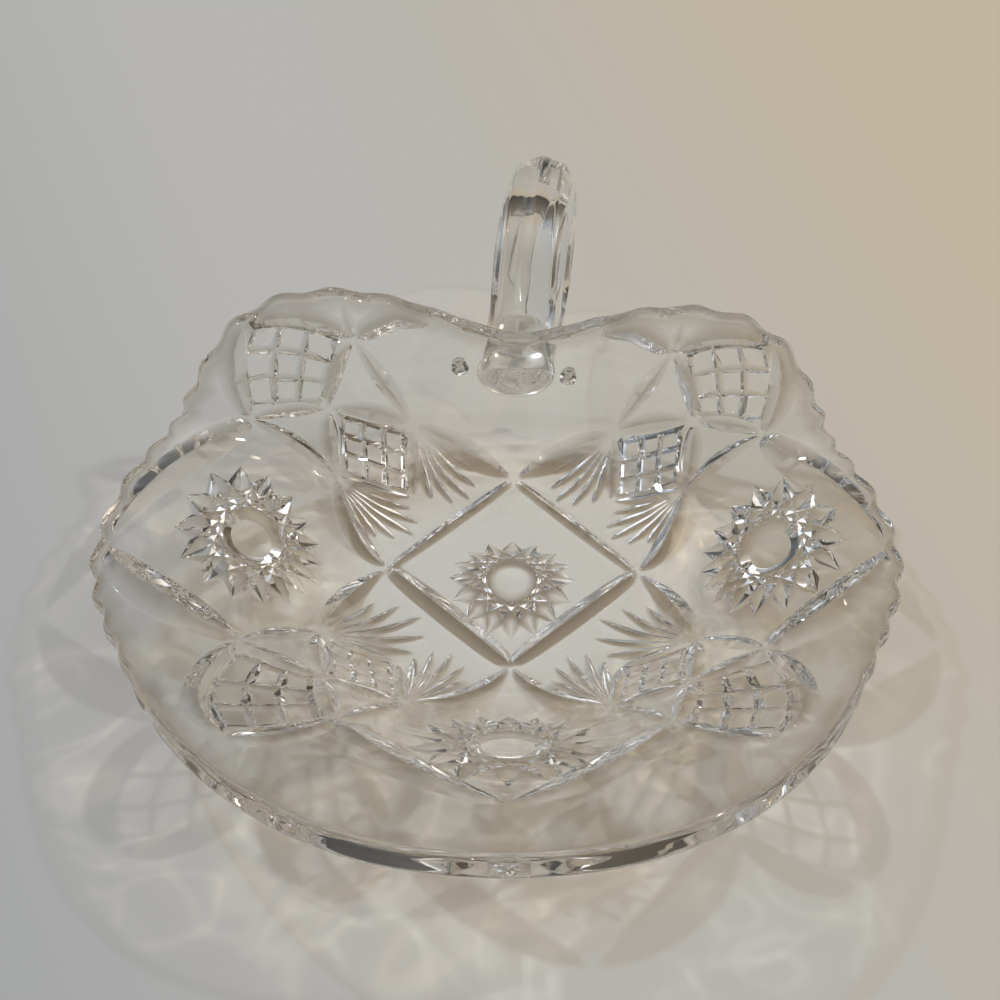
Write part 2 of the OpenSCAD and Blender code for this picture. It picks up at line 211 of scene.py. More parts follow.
# Painted shade in the glass's colour: grey-brown that deepens with a cut's depth, less on a cut's
# inner facet, at the rim, on a band beside the rim, and in the handle, most at its root
PAINTED_SHADE_FULL_D, INNER_PAINTED_SHADE, RIM_PAINTED_SHADE = 1.0, 0.35, 0.4
BAND_PAINTED_SHADE, PAINTED_BAND_FROM, PAINTED_BAND_FULL = 0.08, 3.2, 0.8
HANDLE_PAINTED_SHADE, ROOT_PAINTED_SHADE = 0.05, 0.2
PAINTED_SHADE_STOPS = (
    (0.0, (0.985, 0.99, 0.988)),
    (0.12, (0.84, 0.82, 0.79)),
    (1.0, (0.46, 0.42, 0.35)),
)

# Camera of the photograph
IMAGE_PX, SENSOR_MM, FOCAL_PX = 1000.0, 36.0, 2226.0
CAM_ELEVATION, CAM_DISTANCE, CAM_ROLL = 48.25, 0.42, 1.07
BASE_PIXEL = (511.8, 578.7)
CLIP_START, CLIP_END = 0.01, 50.0


def smooth(t):
    c = np.clip(t, 0.0, 1.0)
    return c * c * (3.0 - 2.0 * c)


def ramp(x, lo, hi):
    return smooth((x - lo) / (hi - lo))


def mix(a, b, t):
    return a + (b - a) * t


def cosd(a):
    return np.cos(np.radians(a))


def sind(a):
    return np.sin(np.radians(a))


def unit(v):
    return v / np.linalg.norm(v, axis=-1, keepdims=True)


# Form: the outer face without cuts, at angle a (degrees) and plan radius r
def off_back(a):
    return np.abs((np.asarray(a, float) - BACK_AT + 540.0) % 360.0 - 180.0)


def reach(a):
    d = off_back(a)
    back = mix(BACK_REACH, CORNER_REACH, ramp(d, 0.0, CORNER_OFF))
    waist = mix(CORNER_REACH, WAIST_REACH, ramp(d, CORNER_OFF, WAIST_OFF))
    side = mix(WAIST_REACH, SIDE_REACH, ramp(d, WAIST_OFF, SIDE_OFF))
    front = mix(SIDE_REACH, FRONT_REACH, ramp(d, SIDE_OFF, FRONT_OFF))
    sectors = [d < CORNER_OFF, d < WAIST_OFF, d < SIDE_OFF]
    return np.select(sectors, [back, waist, side], front) - SKEW * cosd(a)


def lip_share(a):
    return ramp(off_back(a), LIP_FROM_OFF, LIP_FULL_OFF)


def plain_rim_r(a):
    return reach(a) + EDGE_W + LIP_REACH * lip_share(a)


def rim_r(a):
    d = off_back(a)
    share = ramp(d, 0.0, CORNER_OFF) * (1.0 - ramp(d, SIDE_OFF, SCALLOP_END_OFF))
    return plain_rim_r(a) + 0.5 * SCALLOP * share * cosd(SCALLOPS * np.asarray(a, float))


def rim_edge_r(a):
    """Plan radius at which the underside ends and the rounding of the rim starts."""
    return rim_r(a) - EDGE_ROUND


def rim_thick(a):
    return RIM_T + LIP_T * lip_share(a)


def rise(r):
    wall = WALL_RISE * (np.hypot(np.maximum(r - BASE_R, 0.0), HEEL_SOFT) - HEEL_SOFT)
    return wall - FLARE_DROP * (np.maximum(r - FLARE_R, 0.0) / (FRONT_RIM_R - FLARE_R)) ** 2


def turn_up(x, y, z):
    early = BEND_SPREAD * (x / BEND_SPREAD_X) ** 2
    start = BEND_Y - early
    span = BEND_LEN + BEND_STRETCH * early
    u = np.maximum(y - start, 0.0)
    c = np.minimum(u, span)
    rest = u - c
    ds = c / BEND_SAMPLES
    on_way = [BEND_DEG * smooth((k + 0.5) * ds / span) for k in range(BEND_SAMPLES)]
    deg = BEND_DEG * smooth(c / span)
    h = z - BEND_LEVEL
    out = start + ds * sum(cosd(b) for b in on_way) + rest * cosd(BEND_DEG)
    up = BEND_LEVEL + ds * sum(sind(b) for b in on_way) + rest * sind(BEND_DEG)
    ahead = y <= start
    bent_y = np.where(ahead, y, out - h * sind(deg))
    bent_z = np.where(ahead, z, up + h * cosd(deg))
    return np.stack([x, bent_y, bent_z], axis=-1)


def skin(a, r):
    a, r = np.broadcast_arrays(np.asarray(a, float), np.asarray(r, float))
    pull = np.abs(cosd(a)) ** PULL_POWER * (np.maximum(r - PULL_R, 0.0) / PULL_LEN) ** 2
    return turn_up(r * cosd(a), r * sind(a) - SIDE_SWEEP * pull, rise(r) - SIDE_DROOP * pull)


def inward(a, r):
    da, dr = 0.5, 0.05
    r = np.maximum(np.asarray(r, float), 1.0)
    return unit(np.cross(skin(a, r + dr) - skin(a, r - dr), skin(a + da, r) - skin(a - da, r)))


def glass(a, r, depth):
    return skin(a, r) + np.asarray(depth, float)[..., None] * inward(a, r)


def to_polar(xy):
    return np.degrees(np.arctan2(xy[:, 1], xy[:, 0])), np.hypot(xy[:, 0], xy[:, 1])


def to_plan(a, r):
    return np.stack([r * cosd(a), r * sind(a)], axis=-1)


def lattice(a, v):
    """Plan point at angle a and share v of the way from the base to the edge."""
    a = np.asarray(a, float)
    return to_plan(a, SQUARE_R + v * (reach(a) - SQUARE_R))


def lattice_path(*stops):
    """Plan path through (angle, share) stops, even in angle and share."""
    share = np.linspace(0.0, len(stops) - 1.0, PATH_STEPS * (len(stops) - 1) + 1)
    a = np.interp(share, range(len(stops)), [s[0] for s in stops])
    v = np.interp(share, range(len(stops)), [s[1] for s in stops])
    return lattice(a, v)


def keep_in(points):
    """Points moved in, where needed, to stay clear of the rim."""
    a, r = to_polar(points)
    return to_plan(a, np.minimum(r, rim_edge_r(a) - RIM_CLEAR))


class Relief:
    """Points with a depth, creases between them, fields without fill, and V-cuts, in plan."""

    def __init__(self):
        self.points = []
        self.depths = []
        self.edges = []
        self.fields = []
        self.cuts = []

    def add(self, points, depths):
        first = len(self.points)
        self.points.extend(np.asarray(points, float).tolist())
        self.depths.extend(np.broadcast_to(depths, len(points)).tolist())
        return list(range(first, first + len(points)))

    def join(self, ids, closed=False):
        self.edges.extend(zip(ids[:-1], ids[1:]))
        if closed:
            self.edges.append((ids[-1], ids[0]))

    def field(self, outline):
        self.fields.append(np.asarray(outline, float))


def inside(points, outline):
    """Which points lie inside a closed outline."""
    x, y = points[:, 0], points[:, 1]
    hit = np.zeros(len(points), bool)
    for (x0, y0), (x1, y1) in zip(outline, np.roll(outline, -1, axis=0)):
        if y0 == y1:
            continue
        crosses = (y0 > y) != (y1 > y)
        hit ^= crosses & (x < (x1 - x0) * (y - y0) / (y1 - y0) + x0)
    return hit


def groove(width, off):
    """Depth of a V-cut of slope 1, with soft edges and a soft bottom, at distance off."""
    room = width - off
    edge = LEAF_EDGE * width + TINY
    bottom = LEAF_BOTTOM * width + TINY
    soft = np.where(room < edge, np.maximum(room + edge, 0.0) ** 2 / (4.0 * edge), room)
    return soft - np.maximum(bottom - off, 0.0) ** 2 / (2.0 * bottom)


def leaf(relief, path, half_w, fullness=0.6, slope=MITRE_SLOPE, trim=0.5, peak=0.5):
    """A V-cut along a path in the plan, tapered at both ends and widest at share peak."""
    steps = np.linalg.norm(np.diff(path, axis=0), axis=1)
    along = np.concatenate([[0.0], np.cumsum(steps)])
    count = max(int(along[-1] / LEAF_STEP), LEAF_MIN_STEPS)
    share = np.linspace(0.0, 1.0, count + 1)
    at = mix(trim, along[-1] - trim, share)
    centre = np.stack([np.interp(at, along, path[:, k]) for k in (0, 1)], axis=-1)
    across = unit(np.gradient(centre, axis=0))[:, ::-1] * (-1.0, 1.0)
    swell = np.sin(np.pi * share ** (math.log(0.5) / math.log(peak)))
    width = half_w * np.clip(swell, 0.0, 1.0) ** fullness
    tips = relief.add(keep_in(centre[[0, -1]]), 0.0)
    for off in LEAF_LINES:
        line = keep_in(centre + (off * width)[:, None] * across)
        ids = relief.add(line[1:-1], slope * groove(width, abs(off) * width)[1:-1])
        relief.join(tips[:1] + ids + tips[1:])
    reach_out = LEAF_LINES[-1] * width[:, None] * across
    relief.field(np.concatenate([keep_in(centre + reach_out), keep_in(centre - reach_out)[::-1]]))
    relief.cuts.append((keep_in(centre), width, slope))


def cut_depths(plan, cut):
    """Plan points near a V-cut: ids, depth of the cut, whether on its side off the middle."""
    centre, width, slope = cut
    wide = LEAF_LINES[-1] * width.max()
    lo, hi = centre.min(axis=0) - wide, centre.max(axis=0) + wide
    near = np.nonzero(np.all((plan > lo) & (plan < hi), axis=1))[0]
    start, step = centre[:-1], np.diff(centre, axis=0)
    gap = plan[near][:, None] - start
    share = np.clip((gap * step).sum(-1) / ((step * step).sum(-1) + TINY), 0.0, 1.0)
    off = np.linalg.norm(gap - share[..., None] * step, axis=-1)
    depth = slope * groove(mix(width[:-1], width[1:], share), off)
    rows, best = np.arange(len(near)), depth.argmax(axis=1)
    on_line = (start + share[..., None] * step)[rows, best]
    outer = np.linalg.norm(plan[near], axis=1) >= np.linalg.norm(on_line, axis=1)
    return near, depth[rows, best], outer


# Stars: straight cuts that meet in rings of crossings; place maps a star to the plan
def star_rings(radius):
    """Radii and turns of the rings from the button outwards, every other turned half a point."""
    inner = radius * math.cos(math.pi * STAR_SKIP / STAR_POINTS)
    steps = range(1, STAR_SKIP + 1)
    radii = [inner / math.cos(math.pi * m / STAR_POINTS) for m in steps]
    turns = [HALF_POINT * ((STAR_SKIP - m) % 2) for m in steps]
    return radii, turns


def star_ring(place, r, turn):
    angles = 2.0 * HALF_POINT * np.arange(STAR_POINTS) + turn
    return place(to_plan(angles, np.full(STAR_POINTS, r)))


def next_out(k, turn, outer_turn):
    """The two crossings of the next ring outwards that the cuts through crossing k reach."""
    back = -1 if outer_turn > turn else 0
    return [(k + back + step) % STAR_POINTS for step in (0, 1)]


def star_tops(relief, place, rings, radii, turns, depth):
    """Raised points: a top in each diamond, and a ridge out to its tip."""
    for m in range(1, STAR_SKIP - 1):
        span = radii[m + 1] - radii[m - 1]
        rise_up = TOP_LIFT * span * math.sin(math.radians(2.0 * HALF_POINT)) + TOP_LIFT_MORE
        top_ring = star_ring(place, radii[m - 1] + TOP_AT * span, turns[m - 1])
        tops = relief.add(top_ring, depth - min(depth, rise_up))
        for foot, top, tip in zip(rings[m - 1], tops, rings[m + 1]):
            relief.edges.append((foot, top))
            relief.edges.append((top, tip))


def star_notches(relief, place, rings, radii, turns):
    """Outer side of the cuts between neighbouring points."""
    notch_r = mix(radii[-2], radii[-1], NOTCH_AT)
    notches = relief.add(star_ring(place, notch_r, turns[-2]), 0.0)
    for k, notch in enumerate(notches):
        relief.edges.append((rings[-2][k], notch))
        relief.edges.extend((notch, rings[-1][j]) for j in next_out(k, turns[-2], turns[-1]))


def star(relief, place, radius, depth, disc_r):
    """Many-pointed star of crossing cuts round a clear button."""
    radii, turns = star_rings(radius)
    depths = [depth] * (STAR_SKIP - 1) + [0.0]
    rings = [relief.add(star_ring(place, r, t), d) for r, t, d in zip(radii, turns, depths)]
    for m in range(STAR_SKIP - 1):
        for k, crossing in enumerate(rings[m]):
            outwards = next_out(k, turns[m], turns[m + 1])
            relief.edges.extend((crossing, rings[m + 1][j]) for j in outwards)
    star_tops(relief, place, rings, radii, turns, depth)
    star_notches(relief, place, rings, radii, turns)

    # Button: a flat clear disc with a sloping side
    fine = 3 * STAR_POINTS
    disc = relief.add(place(to_plan(360.0 / fine * np.arange(fine), np.full(fine, disc_r))), 0.0)
    relief.join(disc, closed=True)
    relief.join(rings[0], closed=True)
    relief.field(star_ring(place, radius, turns[-1]))


def wall_star_place(angle, r0):
    def place(p):
        return to_plan(angle - np.degrees(p[:, 0] / r0), r0 + STAR_SQUASH * p[:, 1])
    return place


def base_star_place(p):
    stretch = np.where(p[:, 1] < 0.0, BASE_STAR_FRONT, BASE_STAR_BACK)
    return np.stack([p[:, 0], BASE_STAR_Y + stretch * p[:, 1]], axis=-1)


# Panels of small squares: a four-sided patch with straight or bowed sides
def line(a, b):
    return lambda t: a + t[:, None] * (b - a)


def bow(a, middle, b):
    pull = 2.0 * middle - 0.5 * (a + b)

    def curve(t):
        t = t[:, None]
        return (1.0 - t) ** 2 * a + 2.0 * t * (1.0 - t) * pull + t * t * b
    return curve


def patch(near_p, near_q, far_p, far_q):
    """Surface of a four-sided panel; its near sides start at its first corner."""
    ends = np.array([0.0, 1.0])
    c00, c10 = near_p(ends)
    c01, c11 = far_p(ends)

    def place(p, q):
        s, t = p[:, None], q[:, None]
        sides = (1.0 - t) * near_p(p) + t * far_p(p) + (1.0 - s) * near_q(q) + s * far_q(q)
        flat = (1.0 - t) * mix(c00, c10, s) + t * mix(c01, c11, s)
        return sides - flat
    return place


def squares(relief, place):
    """Flat-topped squares between crossing cuts."""
    unit_square = np.array([[0.0, 0.0], [1.0, 0.0], [1.0, 1.0], [0.0, 1.0]])
    spans = list(zip(SQUARE_LINES[:-1], SQUARE_LINES[1:]))
    for p0, p1 in spans:
        for q0, q1 in spans:
            low, size = np.array([p0, q0]), np.array([p1 - p0, q1 - q0])
            foot = low + size * unit_square
            head = low + size * mix(SQUARE_BEVEL, 1.0 - SQUARE_BEVEL, unit_square)
            foot_ids = relief.add(keep_in(place(foot[:, 0], foot[:, 1])), SQUARE_D)
            head_ids = relief.add(keep_in(place(head[:, 0], head[:, 1])), 0.0)
            relief.join(foot_ids, closed=True)
            relief.join(head_ids, closed=True)
            relief.edges.extend(zip(foot_ids, head_ids))
            relief.field(place(foot[:, 0], foot[:, 1]))


def fan(relief, origin, base_corner, panel_corner):
    """Rays from a mitre's foot towards the base, between the mitre and the inner panel."""
    to_base, to_panel = base_corner - origin, panel_corner - origin
    bearing = math.atan2(to_base[1], to_base[0])
    sweep = math.atan2(to_panel[1], to_panel[0]) - bearing
    sweep = (sweep + math.pi) % (2.0 * math.pi) - math.pi
    for share, length in FAN_RAYS:
        angle = bearing + share * sweep
        way = np.array([math.cos(angle), math.sin(angle)])
        stops = np.linspace(FAN_FROM, length, LINE_STEPS + 1) * np.linalg.norm(to_base)
        ray = origin + stops[:, None] * way
        leaf(relief, ray, FAN_HALF_W, slope=FAN_SLOPE, trim=0.0, peak=FAN_PEAK)


def mirrored(node, hand):
    """A pattern node on the right-hand side (hand 1), or its mirror image on the left (-1)."""
    return node if hand > 0 else (180.0 - node[0], node[1])


def wall_corner(relief, table, hand):
    """Mitres, panels and fans round one crossing of the wall."""
    node = {name: mirrored(where, hand) for name, where in table.items()}
    at = {name: lattice(*where) for name, where in node.items()}
    inner_peak = at["inner_side"] + at["inner_end"] - at["cross"]
    for side in ("_side", "_end"):
        base, inner, outer, arch = (part + side for part in ("base", "inner", "outer", "arch"))
        leaf(relief, lattice_path(node[base], node[inner]), FOOT_LEAF, trim=FOOT_LEAF_TRIM)
        leaf(relief, lattice_path(node[inner], node["cross"]), INNER_LEAF)
        leaf(relief, lattice_path(node["cross"], node[outer]), OUTER_LEAF)
        leaf(relief, lattice_path(node[inner], node[outer]), LINK_LEAF)
        rim_side = bow(at[outer], at[arch], at["peak"])(np.linspace(0.0, 1.0, PATH_STEPS + 1))
        leaf(relief, rim_side, ARCH_LEAF, fullness=ARCH_FULLNESS)
        leaf(relief, np.linspace(at[inner], inner_peak, LINE_STEPS + 1), PEAK_LEAF)
        fan(relief, at[inner], at[base], inner_peak)

    squares(relief, patch(line(at["cross"], at["outer_side"]), line(at["cross"], at["outer_end"]),
                          bow(at["outer_end"], at["arch_end"], at["peak"]),
                          bow(at["outer_side"], at["arch_side"], at["peak"])))
    squares(relief, patch(line(at["cross"], at["inner_side"]), line(at["cross"], at["inner_end"]),
                          line(at["inner_end"], inner_peak), line(at["inner_side"], inner_peak)))


def wall_pattern(relief):
    for hand in (1, -1):
        wall_corner(relief, BACK_CORNER, hand)
        wall_corner(relief, FRONT_CORNER, hand)
        for stops, half_w in LONG_LEAVES:
            path = lattice_path(*(mirrored(stop, hand) for stop in stops))
            leaf(relief, path, half_w, peak=LONG_LEAF_PEAK)


def base_square(relief):
    corners = [lattice(a, BASE_SHARE) for a in (0.0, 90.0, 180.0, 270.0)]
    for p, q, half_w in zip(corners, corners[1:] + corners[:1], BAR_HALF_W):
        path = np.linspace(p, q, BAR_STEPS + 1)
        leaf(relief, path, half_w, BAR_FULLNESS, slope=BASE_SLOPE, trim=BAR_TRIM)


def nub(relief, middle):
    """Small lumpy blob that stands out from the wall at an end of the handle's root."""
    turns = 360.0 * np.arange(NUB_SIDES) / NUB_SIDES
    for share in NUB_RINGS:
        ring = middle + share * NUB_R * to_plan(turns, np.ones(len(turns)))
        relief.join(relief.add(ring, -NUB_H * math.sqrt(1.0 - share * share)), closed=True)
    relief.add([middle], -NUB_H)
    relief.field(middle + NUB_R * to_plan(turns, np.ones(len(turns))))


def build_relief():
    relief = Relief()
    star(relief, base_star_place, BASE_STAR_R, BASE_STAR_D, BASE_DISC_R)
    for angle, r0, radius in WALL_STARS:
        star(relief, wall_star_place(angle, r0), radius, STAR_D, STAR_DISC_R)
    wall_pattern(relief)
    base_square(relief)
    for middle in NUBS:
        nub(relief, np.array(middle))
    return relief


# Sheets: plan triangulations that are then laid on the form
def hex_fill(pitch, r_max):
    rows = int(2 * r_max / (pitch * HEX_ROW)) + 2
    cols = int(2 * r_max / pitch) + 2
    j, i = np.mgrid[0:rows, 0:cols]
    x = -r_max + pitch * (i + 0.5 * (j % 2))
    y = -r_max + pitch * HEX_ROW * j
    return np.stack([x.ravel(), y.ravel()], axis=-1)


def fill_points(relief, rim, hole):
    """Points of a regular fill that keep clear of the cuts, the rim and the handle's root."""
    fill = hex_fill(FILL_PITCH, FILL_REACH)
    taken = relief.points + rim.tolist() + hole.tolist()
    tree = KDTree(len(taken))
    for k, p in enumerate(taken):
        tree.insert((p[0], p[1], 0.0), k)
    tree.balance()
    keep = inside(fill, rim)
    for outline in relief.fields + [hole]:
        keep &= ~inside(fill, outline)
    clear = [tree.find((p[0], p[1], 0.0))[2] > FILL_CLEAR for p in fill]
    return fill[keep & np.array(clear)]


def crossing_depths(plan, depth, made, points, depths, edges):
    """Give the points at which creases cross the depth of the deeper crease."""
    for ends, old_edges in made:
        for end in ends:
            for i, j in (edges[k] for k in old_edges):
                span = points[j] - points[i]
                share = np.dot(plan[end] - points[i], span) / np.dot(span, span)
                depth[end] = max(depth[end], mix(depths[i], depths[j], share))


def sheet(points, depths, edges, rim_ids, hole=None):
    """Plan triangulation of one face of the dish: its points, depths, triangles and id map."""
    points = np.asarray(points, float)
    flat = [Vector((float(x), float(y))) for x, y in points]
    result = delaunay_2d_cdt(flat, edges, [], 0, WELD, True)
    out_pts, out_edges, faces, sources, edge_sources, _ = result
    plan = np.array([tuple(p) for p in out_pts])
    depth = np.zeros(len(plan))
    where = np.full(len(points), -1)
    for new, old in enumerate(sources):
        if old:
            depth[new] = max((depths[k] for k in old), key=abs)
            where[list(old)] = new
    made = [([v for v in ends if not sources[v]], old)
            for ends, old in zip(out_edges, edge_sources) if old]
    crossing_depths(plan, depth, made, points, depths, edges)
    tris = np.array([f for f in faces if len(f) == 3])
    middle = plan[tris].mean(axis=1)
    keep = inside(middle, points[rim_ids])
    if hole is not None:
        keep &= ~inside(middle, hole)
    return plan, depth, tris[keep], where


def inner_depth(a, r):
    share = np.clip(r / (plain_rim_r(a) - EDGE_ROUND), 0.0, 1.0)
    return mix(BASE_T, rim_thick(a), share)


# Handle: its root on the wall, centre line behind the dish as (y, z), and faceted bar
def root_points(k, side):
    """Plan points of the root's outline; side 1 runs over its top, -1 under it."""
    turn = 360.0 * np.asarray(k, float) / SECTION_N
    x, r = 0.5 * ROOT_W * cosd(turn), ROOT_R + side * 0.5 * ROOT_H * sind(turn)
    return to_plan(BACK_AT - np.degrees(x / r), r)


def root_outline():
    over = root_points(np.arange(HALF_N + 1), 1.0)
    under = root_points(np.arange(HALF_N - 1, 0, -1), -1.0)
    return np.concatenate([over, under])


def crotch_points():
    """Line across the root, off the wall, where the two arms of the handle part."""
    turn = 360.0 * np.arange(HALF_N + 1, SECTION_N) / SECTION_N
    a = BACK_AT - np.degrees(0.5 * ROOT_W * cosd(turn) / ROOT_R)
    return glass(a, np.full(len(a), ROOT_R), CROTCH_LIFT * sind(turn))


def foot_points(side):
    """Points on the wall, a little inside the root's outline, that its fillet bends round."""
    k = np.arange(SECTION_N)
    turn = 360.0 * k / SECTION_N
    across = 0.5 * FOOT_SHARE * ROOT_W * cosd(turn)
    rise_r = np.where(k <= HALF_N, side * 0.5 * FOOT_SHARE * ROOT_H * sind(turn), 0.0)
    a = BACK_AT - np.degrees(across / (ROOT_R + rise_r))
    lift = np.where(k <= HALF_N, 0.0, CROTCH_LIFT * sind(turn))
    return glass(a, ROOT_R + rise_r, lift)


def fillet(start, foot, end):
    """Rings that leave the wall along it and turn up into the bar."""
    return [(1.0 - t) ** 2 * start + 2.0 * t * (1.0 - t) * foot + t * t * end
            for t in FILLET_STEPS]


def wall_yz(r):
    return skin(BACK_AT, r)[1:]


def loop_yz(s):
    return np.array([LOOP_Y + LOOP_R * cosd(s), LOOP_Z + LOOP_R * sind(s)])


def loop_dir(s):
    return np.array([sind(s), -cosd(s)])


def bezier(p, t):
    u = 1.0 - t
    return u ** 3 * p[0] + 3 * u * u * t * p[1] + 3 * u * t * t * p[2] + t ** 3 * p[3]


def bezier_dir(p, t):
    u = 1.0 - t
    return unit(u * u * (p[1] - p[0]) + 2 * u * t * (p[2] - p[1]) + t * t * (p[3] - p[2]))


def bar_section():
    """Eight-sided bar with softly rounded ridges, as points on about a unit circle."""
    pts = []
    for k in range(FACETS):
        a, b = (to_plan(360.0 / FACETS * (k + e), 1.0) for e in (0, 1))
        for stop in FACET_STOPS:
            pts.append(RIDGE_SHARE * a if stop == 0.0 else mix(a, b, stop))
    return np.array(pts)


def bar_ring(yz, way, w, t, facet_share):
    bar = bar_section()
    shape = mix(ROUND_SHARE * unit(bar), bar, facet_share)
    out = np.array([-way[1], way[0]])
    shift = math.tan(math.radians(LEAN)) * max(yz[0] - wall_yz(UPPER_ROOT_R)[0], 0.0)
    ring = yz + shape[:, 1:2] * (0.5 * t) * out
    return np.column_stack([shift + 0.5 * w * shape[:, 0], ring])


def handle_rings():
    """Rings of the handle from just off the top of its root round to just off the bottom."""
    upper, lower = wall_yz(UPPER_ROOT_R), wall_yz(LOWER_ROOT_R)
    first, last = loop_yz(UPPER_NECK_AT), loop_yz(LOWER_NECK_AT)
    upper_neck = (upper, upper + NECK_LEN * np.array([cosd(NECK_RISE), sind(NECK_RISE)]),
                  first - NECK_LEN * loop_dir(UPPER_NECK_AT), first)
    lower_neck = (last, last + NECK_LEN * loop_dir(LOWER_NECK_AT),
                  lower + np.array([NECK_LEN, 0.0]), lower)
    shares = np.linspace(0.0, 1.0, NECK_STEPS + 1)
    rings = []
    for t in shares[NECK_SKIP:-1]:
        w, thick = mix(NECK_W, HANDLE_W, smooth(t)), mix(UPPER_ROOT_H, HANDLE_T, t)
        way = bezier_dir(upper_neck, t)
        rings.append(bar_ring(bezier(upper_neck, t), way, w, thick, ramp(t, *FACETS_FORM)))
    for s in np.linspace(UPPER_NECK_AT, LOWER_NECK_AT, LOOP_STEPS + 1):
        rings.append(bar_ring(loop_yz(s), loop_dir(s), HANDLE_W, HANDLE_T, 1.0))
    for t in shares[1:-NECK_SKIP]:
        w, thick = mix(HANDLE_W, NECK_W, smooth(t)), mix(HANDLE_T, LOWER_ROOT_H, t)
        way = bezier_dir(lower_neck, t)
        rings.append(bar_ring(bezier(lower_neck, t), way, w, thick, 1.0 - ramp(t, *FACETS_FADE)))
    return rings


class Shell:
    """Vertices in millimetres, their marks for the material, and faces, part by part."""

    def __init__(self):
        self.verts = []
        self.marks = {"cut": [], "tint": [], "frost": [], "streak": []}
        self.faces = []

    def add(self, points, **marks):
        first = len(self.verts)
        self.verts.extend(np.asarray(points).tolist())
        for name, values in self.marks.items():
            values.extend(np.broadcast_to(marks.get(name, 0.0), len(points)).tolist())
        return np.arange(first, len(self.verts))

    def points(self, ids):
        return np.array([self.verts[v] for v in ids])

    def band(self, ring, other):
        """Quads between two closed rings."""
        count = len(ring)
        for i in range(count):
            j = (i + 1) % count
            self.faces.append((int(ring[i]), int(ring[j]), int(other[j]), int(other[i])))

    def triangles(self, ids, tris):
        self.faces.extend(tuple(int(ids[v]) for v in t) for t in tris)


def rim_painted_shade(a, r):
    """Painted shade on the faces of the glass beside the rim."""
    return BAND_PAINTED_SHADE * ramp(r, rim_edge_r(a) - PAINTED_BAND_FROM, rim_edge_r(a) - PAINTED_BAND_FULL)


def streak_share(r):
    """How far light through the glass gathers in streaks: not under the flat base."""
    return ramp(r, BASE_R, STREAK_FULL_R)


def lay_cuts(relief, plan, depth):
    """Deepen the points that lie in V-cuts; gives each point's share of the cuts' painted shade,
    less on a cut's inner side.
    """
    share = np.ones(len(plan))
    for cut in relief.cuts:
        near, cut_d, outer = cut_depths(plan, cut)
        deeper = cut_d > np.maximum(depth[near], 0.0)
        depth[near[deeper]] = cut_d[deeper]
        share[near[deeper]] = np.where(outer, 1.0, INNER_PAINTED_SHADE)[deeper]
    return share


def add_relief_sheet(shell, rim):
    """Underside with its pattern; returns the ids of its edge and of the handle's root."""
    relief, root = build_relief(), root_outline()
    fill = fill_points(relief, rim, root)
    loops = []
    for outline in (rim, root):
        ids = relief.add(outline, 0.0)
        relief.join(ids, closed=True)
        loops.append(ids)
    relief.add(fill, 0.0)
    plan, depth, tris, where = sheet(relief.points, relief.depths, relief.edges, loops[0], root)
    share = lay_cuts(relief, plan, depth)
    a, r = to_polar(plan)
    depth *= np.clip((rim_edge_r(a) - r) / RUN_OUT, 0.0, 1.0)
    cut = np.clip(np.abs(depth) / CUT_FULL_D, 0.0, 1.0)
    # Painted shade in the glass's colour: darker with the depth of a cut, and on a band beside
    # the rim
    tint = share * np.clip(np.abs(depth) / PAINTED_SHADE_FULL_D, 0.0, 1.0)
    tint = np.maximum(tint, rim_painted_shade(a, r))
    ids = shell.add(glass(a, r, depth), cut=cut, tint=tint, streak=streak_share(r))
    shell.triangles(ids, tris[:, ::-1])
    return [ids[where[loop]] for loop in loops]


def add_rim(shell, ring, angles):
    """Flattened half-round rim that grows from a ring of the underside; gives its inner ring."""
    for k in range(1, LIP_STEPS + 1):
        turn = 180.0 * k / LIP_STEPS
        up = np.sign(cosd(turn)) * abs(cosd(turn)) ** (2.0 / LIP_POWER)
        out = abs(sind(turn)) ** (2.0 / LIP_POWER) if k < LIP_STEPS else 0.0
        depth = 0.5 * rim_thick(angles) * (1.0 - up)
        edge = glass(angles, rim_edge_r(angles) + EDGE_ROUND * out, depth)
        # The rim's colour carries painted shade
        here = shell.add(edge, tint=RIM_PAINTED_SHADE, cut=RIM_CUT)
        shell.band(ring, here)
        ring = here
    return ring


def add_inner_sheet(shell, rim, ring):
    """Smooth inside of the dish, closed against the inner ring of the rim."""
    fill = hex_fill(FILL_PITCH, FILL_REACH)
    a, r = to_polar(fill)
    points = np.concatenate([rim, fill[r < rim_edge_r(a) - FILL_CLEAR]])
    rim_ids = list(range(RIM_STEPS))
    edges = list(zip(rim_ids, rim_ids[1:] + rim_ids[:1]))
    plan, _, tris, where = sheet(points, np.zeros(len(points)), edges, rim_ids)
    a, r = to_polar(plan)
    # Painted shade on a band of the inside beside the rim
    ids = shell.add(glass(a, r, inner_depth(a, r)), tint=rim_painted_shade(a, r), streak=streak_share(r))
    ids[where[:RIM_STEPS]] = ring
    shell.triangles(ids, tris)


